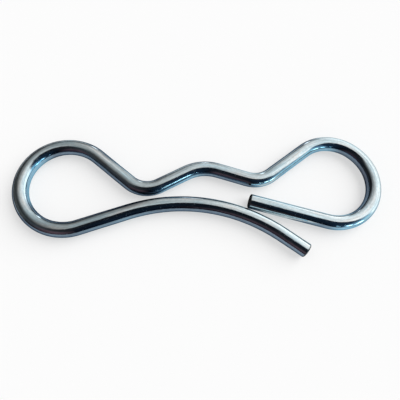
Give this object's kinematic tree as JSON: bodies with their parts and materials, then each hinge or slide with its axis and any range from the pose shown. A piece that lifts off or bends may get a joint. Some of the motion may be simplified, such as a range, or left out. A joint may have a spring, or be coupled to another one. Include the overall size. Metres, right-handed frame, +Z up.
{
  "type": "hitch r clip pin",
  "caption": "Zinc-plated spring wire clip with a loop at each end, a wavy side that hugs a shaft and an arched pin leg that goes through its cross hole.",
  "frame": {"origin": "middle of the clip's outline, on the surface that the flat clip lies on", "axes": "+X along the clip from the left loop to the right loop, +Y from the pin leg to the wave, +Z up out of the plane of the bends"},
  "size_m": [0.078, 0.027, 0.0032],
  "materials": {
    "zinc_plated_wire": "bright blue-white zinc plate on drawn spring wire"
  },
  "bodies": {
    "root": {"spring_wire": "zinc_plated_wire"}
  },
  "joints": []
}
